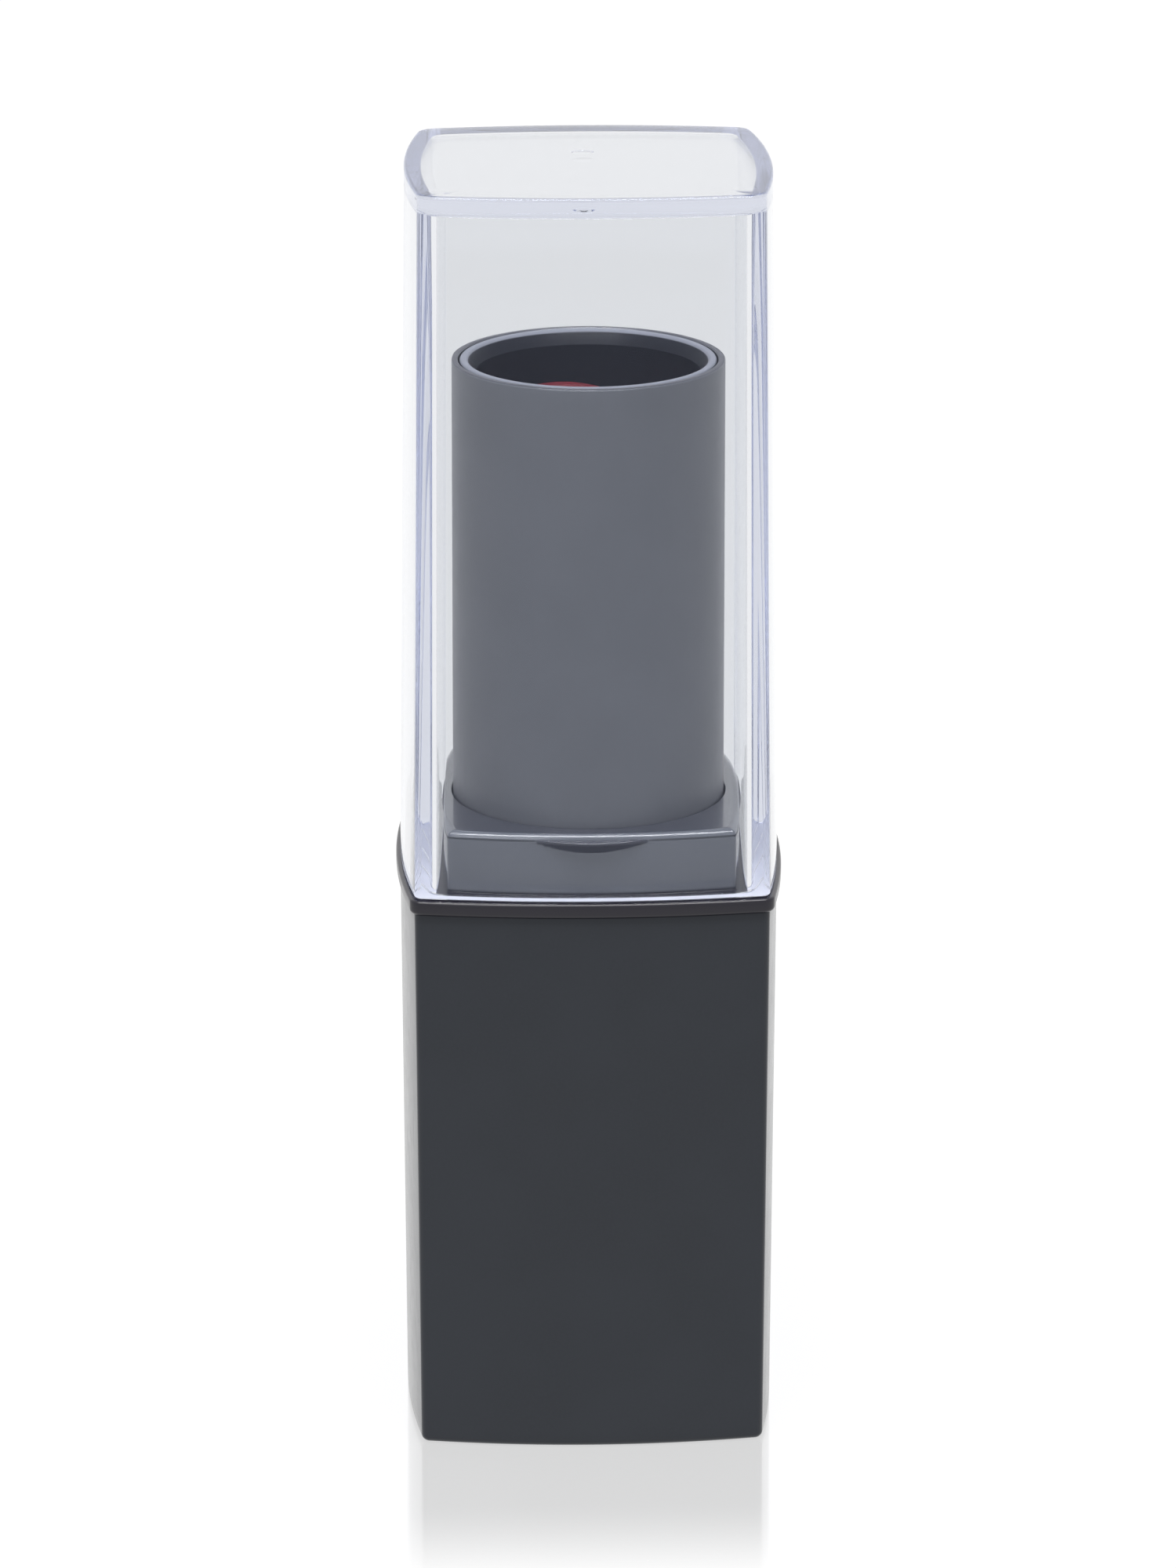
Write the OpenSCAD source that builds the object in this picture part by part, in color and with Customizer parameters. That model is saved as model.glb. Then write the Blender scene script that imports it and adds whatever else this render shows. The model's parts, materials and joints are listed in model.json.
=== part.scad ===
// Square lipstick case with a clear pull-off cap and a round twist-up tube.
// Millimetres, +Z up, origin in the middle of the face that the case stands on.

/* [Case] */
// How far the middle of each side bows out past its corners
side_bow = 0.9; // [0.5:0.05:1.3]
// How much less the inner faces of the cap and of the base bow out
cavity_less_bow = 0.1; // [0:0.05:0.2]
// Radius of the upright corners
corner_r = 0.5; // [0.3:0.05:1]

/* [Base] */
// Height of the top of the flange above the foot
base_h = 34.2; // [28:0.1:42]
// How much narrower the base is on each side at the foot than at the flange
base_draft = 0.17; // [0.05:0.01:0.3]
// Thickness of the base's walls at the foot
base_wall = 1.2; // [0.8:0.05:1.5]
// Thickness of the base's floor
base_floor = 1.2; // [0.8:0.05:2]
// Height of the chamfer round the foot
foot_chamfer = 0.25; // [0.1:0.05:0.5]

/* [Collar] */
// Thickness of the flange that the cap stands on
flange_t = 0.9; // [0.6:0.05:1.4]
// How far the flange stands out past the case
flange_out = 0.25; // [0.1:0.05:0.5]
// Height of the plinth above the flange
plinth_h = 3.7; // [2.5:0.1:6]
// Thickness of the plinth between the tube's bore and the middle of a side
plinth_wall = 1.15; // [0.8:0.05:3]
// How far the middle of each of the plinth's sides bows out past its corners
plinth_bow = 0.95; // [0.5:0.05:1.3]
// Radius of the plinth's upright corners
plinth_corner_r = 0.3; // [0.2:0.05:1]
// Gap between the plinth and the cap's wall
plinth_gap = 0.7; // [0.4:0.05:1]
// Depth of the skirt that holds the collar in the base
skirt_h = 5; // [3:0.1:7]
// Length of each snap bead along its side
bead_l = 6.3; // [4:0.1:9]
// Height of each snap bead
bead_h = 0.75; // [0.5:0.05:1]
// Gap left between each snap bead and the cap's wall
bead_gap = 0.15; // [0.1:0.01:0.2]
// Distance from the plinth's top down to the snap beads
bead_down = 0.35; // [0.3:0.05:1]

/* [Cap] */
// Gap between the raised bullet and the cap's ceiling
head_gap = 0.38; // [0.3:0.01:5]
// How much narrower the cap is on each side at the top than at the foot
cap_draft = 0.55; // [0.1:0.01:0.7]
// Thickness of the cap's walls at the foot
cap_wall = 1.2; // [0.9:0.05:1.4]
// Thickness of the cap's walls at the top
cap_wall_top = 0.95; // [0.75:0.05:1.4]
// Thickness of the cap's top
cap_top_t = 1.27; // [0.9:0.01:1.8]

/* [Tube] */
// How much the tube's radius grows from its rim to its foot
tube_draft = 0.06; // [0:0.01:0.1]
// Height of the tube above the plinth
tube_h = 26.2; // [21:0.1:34]
// Wall thickness of the turning tube
tube_wall = 0.4; // [0.3:0.01:0.8]
// How far the retaining foot stands out of the tube
tube_foot_out = 0.55; // [0.3:0.05:0.8]
// Thickness of the retaining foot
tube_foot_t = 0.8; // [0.5:0.05:1.2]

/* [Mechanism] */
// Diameter of the lipstick bullet
bullet_d = 12.1; // [9:0.05:16]
// Wall thickness of the cup that carries the bullet
cup_wall = 0.4; // [0.3:0.01:0.8]
// Thickness of the cup's floor
cup_floor = 0.8; // [0.5:0.05:1.5]
// Height of the cup
cup_h = 11.25; // [8:0.05:14]
// Diameter of the cup's two lugs
lug_d = 1.4; // [1:0.05:1.8]
// Wall thickness of the slotted inner tube
inner_wall = 0.5; // [0.4:0.01:0.8]
// Wall thickness of the spiral sleeve
sleeve_wall = 0.43; // [0.35:0.01:0.8]
// Rise of the spiral for one turn
lead = 10.5; // [8:0.1:14]
// Travel of the cup
travel = 12.25; // [8:0.05:15]
// Distance from the tube's rim down to the bullet's tip at rest
tip_below_rim = 2.3; // [2:0.05:4]
// How far the highest point of the bullet's tip stands from the axis
tip_off = 2.8; // [2:0.1:3.5]
// How deep the inner tube stands in the core's socket
socket_depth = 11; // [6:0.1:16]

/* [Fits] */
// Radial gap between parts that turn or slide in each other
running_gap = 0.09; // [0.05:0.01:0.1]
// Gap between parts that are pressed or snapped together
snug_gap = 0.02; // [0.01:0.01:0.04]
// Gap between stacked parts that move apart
seat_gap = 0.05; // [0.02:0.01:0.1]
// Axial play of the tube's foot between the collar and the core
end_play = 0.15; // [0.1:0.01:0.3]

/* [Label] */
// Diameter of the blank paper label under the base
label_d = 14; // [10:0.5:16]
// Thickness of the label
label_t = 0.1; // [0.05:0.01:0.2]
// Depth of the recess that the label lies in
label_recess = 0.2; // [0.2:0.01:0.4]
// Gap round the label in its recess
label_gap = 0.2; // [0.1:0.05:0.4]

/* [Hidden] */
$fn = 96;
// A little extra, so that a cut runs clear of the face it starts from
cut = 0.5;

// Heights, from the foot up
flange_z = base_h - flange_t;
plinth_z = base_h + plinth_h;
rim_z = plinth_z + tube_h;
cap_z = base_h + seat_gap;
tip_z = rim_z - tip_below_rim;
cap_ceiling = tip_z + travel + head_gap - cap_z;
cap_h = cap_ceiling + cap_top_t;

// Radii, from the bullet out
bullet_r = bullet_d / 2;
cup_bore_r = bullet_r + snug_gap;
cup_r = cup_bore_r + cup_wall;
inner_bore_r = cup_r + running_gap;
inner_r = inner_bore_r + inner_wall;
sleeve_bore_r = inner_r + running_gap;
sleeve_r = sleeve_bore_r + sleeve_wall;
tube_bore_r = sleeve_r + snug_gap;
tube_r = tube_bore_r + tube_wall;
tube_foot_r = tube_r + tube_draft;
tube_stop_r = tube_foot_r + tube_foot_out;
collar_bore_r = tube_foot_r + running_gap;

// Half-widths of the case's outlines across the middle of their sides, from the tube out
plinth_hw = collar_bore_r + plinth_wall;
cap_cavity_hw = plinth_hw + plinth_gap;
case_hw = cap_cavity_hw + cap_wall;
cap_top_hw = case_hw - cap_draft;
cavity_top_hw = cap_top_hw - cap_wall_top;
foot_hw = case_hw - base_draft;
cavity_hw = foot_hw - base_wall;
cavity_bow = side_bow - cavity_less_bow;
bead_out = plinth_gap - bead_gap;
bead_land = 0.15;

// Retaining foot of the tube, in the collar's counterbore and above the core
counterbore_gap = 0.25;
counterbore_r = tube_stop_r + counterbore_gap;
stop_ledge = 1.1;
tube_z = flange_z - stop_ledge - end_play - tube_foot_t;
core_top = tube_z - end_play;

// Core in the base
core_floor_t = 1;
core_wall = 1;
rib_t = 1;
rib_down = 2;
boss_wall = 1.1;
socket_r = inner_r + snug_gap;
boss_r = socket_r + boss_wall;
socket_z = core_top - socket_depth;
web_t = 1.2;
key_w = 1.6;
key_out = 0.55;
key_h = 4;

// Cup and bullet at rest: the cup's mouth comes level with the rim at full travel
cup_z = rim_z - travel - cup_h;
cup_rest_gap = 0.2;
lug_up = 1.3;
lug_gap = 0.12;
lug_z = cup_z + lug_up;
lug_reach = sleeve_r - lug_gap;
bullet_z = cup_z + cup_floor;
grip_ribs = 6;
grip_rib_w = 0.6;
grip_rib_out = 0.3;
grip_rib_h = 6;

// Lip of the inner tube, which keeps the sleeve down
lip_t = 0.8;
lip_gap = 0.1;
lip_r = tube_bore_r - lip_gap;
lip_land = 0.45;
ledge_in = 0.65;
ledge_z = cup_z - cup_rest_gap;
ledge_bore_r = inner_bore_r - ledge_in;

// Brake ring in its groove on the inner tube
groove_depth = 0.45;
groove_w = 0.9;
groove_up = 4;
groove_z = tube_z + groove_up;
ring_gap = 0.03;
ring_out_r = sleeve_bore_r - ring_gap;
ring_in_r = inner_r - groove_depth;

// Spiral slots
slot_gap = 0.2;
slot_w = lug_d + 2 * slot_gap;
slot_turn = 360 * travel / lead;
slot_over = 8;
slot_step = 8;
slot_clear = 0.3;
sleeve_top = rim_z - lip_t - lip_gap;

function on_arc(x, y, r, from, to, n) =
    [for (i = [0:n - 1]) let (a = from + (to - from) * i / n) [x + r * cos(a), y + r * sin(a)]];
function turned(p, a) = [p.x * cos(a) - p.y * sin(a), p.x * sin(a) + p.y * cos(a)];

// Outline of a square whose sides are shallow arcs and whose corners are rounded:
// arc_r is the radius of a side, set_back the distance of its centre behind the middle,
// q the place of a corner's centre and t the angle at which side and corner meet
function bowed_square(hw, bow, r) =
    let (half_chord = hw - bow)
    let (arc_r = (half_chord * half_chord + bow * bow) / (2 * bow))
    let (set_back = arc_r - hw)
    let (q = (sqrt(2 * (arc_r - r) * (arc_r - r) - set_back * set_back) - set_back) / 2)
    let (t = atan2(q, q + set_back))
    let (side = on_arc(-set_back, 0, arc_r, -t, t, 12))
    let (corner = on_arc(q, q, r, t, 90 - t, 5))
    [for (k = [0:3]) for (p = concat(side, corner)) turned(p, 90 * k)];

// Upright block with a bowed outline
module block(hw, bow, r, z0, z1) {
    translate([0, 0, z0])
        linear_extrude(height = z1 - z0)
            polygon(bowed_square(hw, bow, r));
}

// Block whose outline shrinks or grows evenly from hw0 at z0 to hw1 at z1
module drafted_block(hw0, hw1, bow, r, z0, z1) {
    translate([0, 0, z0])
        linear_extrude(height = z1 - z0, scale = hw1 / hw0)
            polygon(bowed_square(hw0, bow, r));
}

module tube(r_out, r_in, z0, z1) {
    translate([0, 0, z0])
        difference() {
            cylinder(r = r_out, h = z1 - z0);
            translate([0, 0, -cut])
                cylinder(r = r_in, h = z1 - z0 + 2 * cut);
        }
}

// Square outer housing, open at the top, with a recess for the label under its floor
module base_shell() {
    color("#3b3e43")
        difference() {
            intersection() {
                drafted_block(foot_hw, case_hw, side_bow, corner_r, 0, flange_z);
                drafted_block(foot_hw - foot_chamfer, foot_hw + flange_z, side_bow, corner_r, 0, flange_z);
            }
            block(cavity_hw, cavity_bow, corner_r, base_floor, flange_z + cut);
            translate([0, 0, -cut])
                cylinder(d = label_d + 2 * label_gap, h = label_recess + cut);
        }
}

// Moulded insert: a floor, an outer wall and ribs that carry the round socket
module base_core() {
    core_hw = cavity_hw - snug_gap;
    wall_top = flange_z - skirt_h - end_play;
    rib_reach = 1.2 * core_hw;
    color("#55585d")
        difference() {
            union() {
                block(core_hw, cavity_bow, corner_r, base_floor, base_floor + core_floor_t);
                difference() {
                    block(core_hw, cavity_bow, corner_r, base_floor, wall_top);
                    block(core_hw - core_wall, cavity_bow, corner_r, base_floor - cut, wall_top + cut);
                }
                difference() {
                    for (a = [45, 135])
                        rotate([0, 0, a])
                            translate([-rib_reach, -rib_t / 2, base_floor])
                                cube([2 * rib_reach, rib_t, wall_top - base_floor - rib_down]);
                    cylinder(r = boss_r - boss_wall / 2, h = core_top);
                }
                tube(boss_r, socket_r, base_floor, core_top);
                translate([0, 0, socket_z - web_t])
                    cylinder(r = boss_r - boss_wall / 2, h = web_t);
            }
            for (a = [0, 180])
                rotate([0, 0, a])
                    translate([0, -key_w / 2 - snug_gap, socket_z])
                        cube([inner_r + key_out + snug_gap, key_w + 2 * snug_gap, core_top]);
        }
}

// Snap bead: the edge of a large disc with a sloping underside, let into a side of the plinth
module snap_bead() {
    half_l = bead_l / 2;
    disc_r = (half_l * half_l + bead_out * bead_out) / (2 * bead_out);
    face_r = disc_r - bead_out;
    translate([plinth_hw - face_r, 0, plinth_z - bead_down - bead_h])
        intersection() {
            rotate_extrude($fn = 180)
                polygon([[0, 0], [face_r, 0], [disc_r, bead_h - bead_land], [disc_r, bead_h], [0, bead_h]]);
            translate([face_r - cut, -half_l - cut, 0])
                cube([bead_out + 2 * cut, bead_l + 2 * cut, bead_h]);
        }
}

// Flange that the cap stands on, plinth that the cap slides over, and skirt that fits in the base
module collar() {
    color("#44474c")
        difference() {
            union() {
                block(cavity_hw - snug_gap, cavity_bow, corner_r, flange_z - skirt_h, flange_z);
                block(case_hw + flange_out, side_bow, corner_r, flange_z, base_h);
                block(plinth_hw, plinth_bow, plinth_corner_r, base_h, plinth_z);
                for (a = [0:90:270])
                    rotate([0, 0, a])
                        snap_bead();
            }
            translate([0, 0, flange_z - skirt_h - cut])
                cylinder(r = collar_bore_r, h = skirt_h + flange_t + plinth_h + 2 * cut);
            translate([0, 0, flange_z - skirt_h - cut])
                cylinder(r = counterbore_r, h = skirt_h - stop_ledge + cut);
        }
}

// Upright slot through one wall of the inner tube, with round ends
module lug_slot() {
    slot_d = lug_d + 2 * lug_gap;
    for (z = [lug_z, lug_z + travel])
        translate([0, 0, z])
            rotate([0, 90, 0])
                cylinder(d = slot_d, h = inner_r + cut);
    translate([0, -slot_d / 2, lug_z])
        cube([inner_r + cut, slot_d, travel]);
}

// Slotted tube, keyed into the core, that keeps the cup from turning
module inner_tube() {
    color("#2e3035")
        difference() {
            union() {
                translate([0, 0, socket_z])
                    cylinder(r = inner_r, h = rim_z - socket_z);
                translate([0, 0, rim_z - lip_t])
                    cylinder(r = lip_r, h = lip_t);
                for (a = [0, 180])
                    rotate([0, 0, a])
                        translate([inner_r - inner_wall, -key_w / 2, socket_z])
                            cube([inner_wall + key_out, key_w, key_h]);
            }
            translate([0, 0, ledge_z])
                cylinder(r = inner_bore_r, h = rim_z);
            translate([0, 0, socket_z - cut])
                cylinder(r = ledge_bore_r, h = rim_z);
            translate([0, 0, rim_z - lip_t])
                cylinder(r1 = inner_bore_r, r2 = lip_r - lip_land, h = lip_t);
            translate([0, 0, rim_z])
                cylinder(r = lip_r + cut, h = cut);
            for (a = [0, 180])
                rotate([0, 0, a])
                    lug_slot();
            tube(inner_r + cut, ring_in_r, groove_z - groove_w / 2, groove_z + groove_w / 2);
        }
}

// Silicone ring that rubs in the sleeve and gives the twist its drag
module brake_ring() {
    color("#8d9096")
        translate([0, 0, groove_z])
            rotate_extrude()
                translate([(ring_out_r + ring_in_r) / 2, 0])
                    circle(d = ring_out_r - ring_in_r, $fn = 24);
}

// Round outer tube that is turned by hand
module twist_tube() {
    color("#5d6066")
        difference() {
            union() {
                translate([0, 0, tube_z])
                    cylinder(r = tube_stop_r, h = tube_foot_t);
                translate([0, 0, tube_z])
                    cylinder(r = tube_foot_r, h = plinth_z - tube_z);
                translate([0, 0, plinth_z])
                    cylinder(r1 = tube_foot_r, r2 = tube_r, h = tube_h);
            }
            translate([0, 0, tube_z - cut])
                cylinder(r = tube_bore_r, h = rim_z - tube_z + 2 * cut);
        }
}

// Closed solid that follows the lug's path past the turning sleeve.
// The path falls as the angle grows, and runs a little past the lug at both ends.
module spiral_cutter() {
    r0 = sleeve_bore_r - slot_clear;
    r1 = sleeve_r + slot_clear;
    first = slot_over;
    last = -slot_turn - slot_over;
    n = ceil((first - last) / slot_step);
    points = [for (i = [0:n])
        let (a = first + (last - first) * i / n)
        let (z = lug_z - lead * a / 360)
        for (p = [[r0, -slot_w / 2], [r1, -slot_w / 2], [r1, slot_w / 2], [r0, slot_w / 2]])
            [p[0] * cos(a), p[0] * sin(a), z + p[1]]];
    sides = [for (i = [0:n - 1]) for (k = [0:3])
        let (b = 4 * i + k)
        let (c = 4 * i + (k + 1) % 4)
        for (face = [[b, c + 4, c], [b, b + 4, c + 4]]) face];
    polyhedron(points, concat(sides, [[0, 1, 2, 3], [4 * n + 3, 4 * n + 2, 4 * n + 1, 4 * n]]));
}

// Sleeve with two spiral slots, fixed in the turning tube
module spiral_sleeve() {
    color("#9a9da3")
        difference() {
            tube(sleeve_r, sleeve_bore_r, tube_z, sleeve_top);
            for (a = [0, 180])
                rotate([0, 0, a])
                    spiral_cutter();
        }
}

// Upright ribs in the cup, rooted in its wall; grown a little, they cut the bullet's grooves
module grip_rib_set(grow) {
    for (k = [0:grip_ribs - 1])
        rotate([0, 0, 360 * (k + 0.5) / grip_ribs])
            translate([cup_bore_r - grip_rib_out - grow, -grip_rib_w / 2 - grow, bullet_z - grow])
                cube([grip_rib_out + cup_wall / 2 + grow, grip_rib_w + 2 * grow, grip_rib_h + 2 * grow]);
}

// Cup that carries the bullet; its lugs pass through the inner tube into the spiral slots
module bullet_cup() {
    color("#c9ccd1")
        union() {
            difference() {
                translate([0, 0, cup_z])
                    cylinder(r = cup_r, h = cup_h);
                translate([0, 0, bullet_z])
                    cylinder(r = cup_bore_r, h = cup_h);
            }
            for (a = [0, 180])
                rotate([0, 0, a])
                    translate([cup_r - cup_wall, 0, lug_z])
                        rotate([0, 90, 0])
                            cylinder(d = lug_d, h = lug_reach - cup_r + cup_wall);
            grip_rib_set(0);
        }
}

// Lipstick, with a domed tip cut on the slant; the dome's middle stands at its highest point
module bullet() {
    slant = 45;
    slant_turn = 30;
    dome_r = 8.5;
    shoulder_z = tip_z - dome_r;
    color("#8c1626")
        difference() {
            intersection() {
                translate([0, 0, bullet_z + snug_gap])
                    cylinder(r = bullet_r, h = tip_z - bullet_z - snug_gap);
                rotate([0, 0, slant_turn])
                    translate([0, tip_off, 0])
                        union() {
                            translate([0, 0, shoulder_z])
                                sphere(r = dome_r);
                            cylinder(r = dome_r + tip_off, h = shoulder_z);
                        }
            }
            rotate([0, 0, slant_turn])
                translate([-bullet_d, tip_off, tip_z])
                    rotate([slant, 0, 0])
                        translate([0, -2 * bullet_d, 0])
                            cube([2 * bullet_d, 2 * bullet_d, bullet_d]);
            grip_rib_set(snug_gap);
        }
}

// Clear cap with thick walls and a flat top
module cap() {
    color("#dfe5ee", 0.35)
        translate([0, 0, cap_z])
            difference() {
                drafted_block(case_hw, cap_top_hw, side_bow, corner_r, 0, cap_h);
                drafted_block(cap_cavity_hw, cavity_top_hw, cavity_bow, corner_r, 0, cap_ceiling);
                translate([0, 0, -cut])
                    block(cap_cavity_hw, cavity_bow, corner_r, 0, cut);
            }
}

// Blank paper disc stuck in the recess under the base
module shade_label() {
    color("#f2f2ee")
        translate([0, 0, label_recess - label_t])
            cylinder(d = label_d, h = label_t);
}

base_shell();
base_core();
collar();
inner_tube();
brake_ring();
twist_tube();
spiral_sleeve();
bullet_cup();
bullet();
cap();
shade_label();
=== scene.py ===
"""Square lipstick case with a clear pull-off cap: detailed pieces, finishes and a plain studio."""

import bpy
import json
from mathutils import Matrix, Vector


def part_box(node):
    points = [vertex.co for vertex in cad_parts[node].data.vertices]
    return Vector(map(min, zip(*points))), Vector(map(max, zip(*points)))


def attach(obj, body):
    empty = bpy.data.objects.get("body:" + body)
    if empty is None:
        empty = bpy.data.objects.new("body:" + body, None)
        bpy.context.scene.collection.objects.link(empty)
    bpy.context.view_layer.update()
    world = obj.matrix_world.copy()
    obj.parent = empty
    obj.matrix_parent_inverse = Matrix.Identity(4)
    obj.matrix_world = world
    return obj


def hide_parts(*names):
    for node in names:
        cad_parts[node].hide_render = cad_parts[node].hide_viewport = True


bl_info = {
    "name": "Lipstick Case",
    "version": (1, 0, 0),
    "blender": (4, 5, 0),
    "location": "3D View > Sidebar > Lipstick",
    "description": "Builds the detailed pieces and finishes of a square lipstick case",
    "category": "Object",
}

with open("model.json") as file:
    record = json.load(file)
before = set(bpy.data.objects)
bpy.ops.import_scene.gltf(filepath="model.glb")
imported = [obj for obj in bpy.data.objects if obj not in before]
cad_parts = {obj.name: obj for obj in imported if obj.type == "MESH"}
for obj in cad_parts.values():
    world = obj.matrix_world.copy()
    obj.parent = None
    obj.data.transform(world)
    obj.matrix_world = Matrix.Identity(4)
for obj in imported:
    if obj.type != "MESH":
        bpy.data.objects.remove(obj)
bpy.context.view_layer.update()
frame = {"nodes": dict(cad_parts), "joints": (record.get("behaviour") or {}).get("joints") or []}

import json
import math

import bmesh
import bpy
from bpy.props import FloatProperty, FloatVectorProperty, PointerProperty
from mathutils import Matrix, Vector

MM = 0.001
IN_MM = 1 / MM
SIDE_STEPS = 40
CORNER_STEPS = 8
RING_STEPS = 4 * (SIDE_STEPS + CORNER_STEPS)
FILLET_STEPS = 5
CAP_BOUNCES = 64         # light that is caught in the cap's walls needs many bounces to get out


# Sizes and colours that a user would change

def length(name, description, default):
    """A size property in metres, with its default given in millimetres."""
    return FloatProperty(name=name, description=description, default=default * MM, min=0.0,
                         precision=5, unit="LENGTH")


def angle(name, description, default):
    """An angle property, with its default given in degrees."""
    return FloatProperty(name=name, description=description, default=math.radians(default),
                         unit="ROTATION")


def colour(name, description, default):
    """A colour property."""
    return FloatVectorProperty(name=name, description=description, default=default, size=3,
                               min=0.0, max=1.0, subtype="COLOR")


class CaseSizes(bpy.types.PropertyGroup):
    """Sizes of the case that its outer boxes don't give."""

    side_bow: length("Side bow", "How far the middle of each side bows out past its corners", 0.9)
    cavity_bow: length("Cavity bow", "Bow of the inner faces of the cap and of the base", 0.8)
    corner: length("Corner radius", "Radius of the upright outer corners", 0.5)
    cap_corner: length("Cap corner", "Radius of the cap's upright corners at its top", 1.2)
    cap_edge: length("Cap edge", "Radius of the edge round the cap's top", 0.22)
    cavity_corner: length("Cavity corner", "Radius of the upright inner corners", 1.1)
    base_draft: length("Base draft", "How much narrower the base is at its foot", 0.17)
    base_wall: length("Base wall", "Thickness of the base's walls at the foot", 1.2)
    base_floor: length("Base floor", "Thickness of the base's floor", 1.2)
    foot_round: length("Foot rounding", "Radius of the edge round the foot", 0.45)
    edge: length("Edge rounding", "Radius of the small moulded edges", 0.15)
    flange: length("Flange", "Thickness of the flange that the cap stands on", 0.9)
    flange_round: length("Flange rounding", "Radius of the flange's lower edge", 0.3)
    skirt_gap: length("Skirt gap", "Gap between the collar's skirt and the base", 0.02)
    plinth_half: length("Plinth half-width", "Half the width of the plinth over its sides", 9.3)
    plinth_bow: length("Plinth bow", "Bow of the plinth's sides", 0.95)
    plinth_corner: length("Plinth corner", "Radius of the plinth's upright corners", 0.3)
    plinth_edge: length("Plinth edge", "Radius of the edge round the plinth's top", 0.45)
    bead_long: length("Bead length", "Length of each snap bead", 6.3)
    bead_high: length("Bead height", "Height of each snap bead", 0.75)
    bead_out: length("Bead", "How far each snap bead stands out", 0.55)
    bead_down: length("Bead place", "Distance from the plinth's top down to the beads", 0.35)
    bead_land: length("Bead land", "Height of each bead's upright edge", 0.15)
    cap_draft: length("Cap draft", "How much narrower the cap is at its top", 0.55)
    cap_wall: length("Cap wall", "Thickness of the cap's walls at the foot", 1.2)
    cap_wall_top: length("Cap wall at the top", "Thickness of the cap's walls at the top", 0.95)
    cap_top: length("Cap top", "Thickness of the cap's top", 1.27)
    gate_across: length("Gate mark", "Width of the gate mark on the cap's top", 1.3)
    bore: length("Collar bore", "Radius of the collar's bore", 8.15)
    counterbore: length("Counterbore", "Radius of the collar's counterbore", 8.86)
    ledge: length("Collar ledge", "Thickness of the ledge that holds the tube's foot", 1.1)
    tube_radius: length("Tube radius", "Radius of the tube at its rim", 8.0)
    tube_foot: length("Tube foot radius", "Radius of the tube above its retaining foot", 8.06)
    tube_bore: length("Tube bore", "Radius of the tube's bore", 7.6)
    stop: length("Retaining foot", "Thickness of the tube's retaining foot", 0.8)
    guide_radius: length("Guide radius", "Outer radius of the slotted guide tube", 7.06)
    guide_bore: length("Guide bore", "Radius of the guide tube's bore", 6.56)
    guide_ledge: length("Guide ledge", "Radius of the bore under the cup's rest", 5.91)
    lip: length("Lip", "Height of the guide tube's lip", 0.8)
    lip_land: length("Lip land", "Width of the flat on top of the lip", 0.45)
    slot: length("Guide slot", "Width of the guide tube's upright slots", 1.64)
    lug: length("Lug", "Diameter of the cup's lugs", 1.4)
    lug_up: length("Lug place", "Height of the lugs above the cup's foot", 1.3)
    cup_radius: length("Cup radius", "Outer radius of the cup", 6.47)
    cup_bore: length("Cup bore", "Radius of the cup's bore", 6.07)
    cup_floor: length("Cup floor", "Thickness of the cup's floor", 0.8)
    dome: length("Bullet dome", "Radius of the dome on the bullet", 8.5)
    tip_off: length("Tip place", "Distance from the axis to the highest point of the bullet", 2.8)
    slant: angle("Slant", "Angle of the bullet's cut below the horizon", 45.0)
    slant_turn: angle("Slant turn", "How far the cut is turned about the axis", 30.0)


class CaseColours(bpy.types.PropertyGroup):
    """Base colours of the finishes."""

    case: colour("Case", "Dark plastic of the base", (0.015, 0.0175, 0.0225))
    collar: colour("Collar", "Satin plastic of the plinth", (0.094, 0.100, 0.117))
    flange: colour("Flange", "Polished plastic of the flange", (0.008, 0.007, 0.012))
    tube: colour("Tube", "Satin plastic of the tube", (0.098, 0.102, 0.114))
    guide: colour("Guide", "Dark plastic of the mechanism", (0.006, 0.007, 0.011))
    # painted highlight on the land of the guide tube's lip
    lip: colour("Lip", "Paler land on the guide tube's lip", (0.205, 0.213, 0.245))
    clear: colour("Cap", "Tint of the clear plastic", (0.846, 0.857, 0.875))
    # painted light: pale diffuse foot of the cap, standing in for light carried down its walls
    foot_painted_light: colour("Frost", "Frosted rim at the foot of the cap", (0.50, 0.51, 0.57))
    # on the tube this is the bare rim; on the plinth's top and beads this colour is painted shade
    rim: colour("Rim", "Bare rim of the tube and top of the plinth", (0.040, 0.042, 0.055))
    bullet: colour("Bullet", "Lipstick", (0.11, 0.004, 0.010))
    core: colour("Core", "Insert in the base", (0.06, 0.063, 0.07))
    sleeve: colour("Sleeve", "Spiral sleeve", (0.25, 0.26, 0.28))
    silicone: colour("Silicone", "Brake ring", (0.40, 0.41, 0.43))
    paper: colour("Paper", "Label under the base", (0.82, 0.82, 0.79))


class StageSettings(bpy.types.PropertyGroup):
    """Camera, floor and lights."""

    distance: length("Camera distance", "From the camera to the point that it looks at", 375.7)
    target: length("Target height", "Height of the point that the camera looks at", 38.0)
    elevation: angle("Elevation", "Camera's angle above the horizon", 17.25)
    azimuth: angle("Azimuth", "Camera's turn to the left of the front", 1.455)
    lens: FloatProperty(name="Lens", description="Focal length on a 36 mm sensor",
                        default=144.9, unit="CAMERA")
    floor: colour("Floor", "Pale floor", (0.90, 0.90, 0.90))
    floor_half: length("Floor size", "Half the width of the floor", 3000.0)
    mirror_reach: length("Mirror reach", "How far round the case the floor reflects it", 22.0)


# Rings and surfaces

def spread(start, end, count):
    """Evenly spaced values from start, stopping one short of end."""
    return [start + (end - start) * i / count for i in range(count)]


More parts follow.
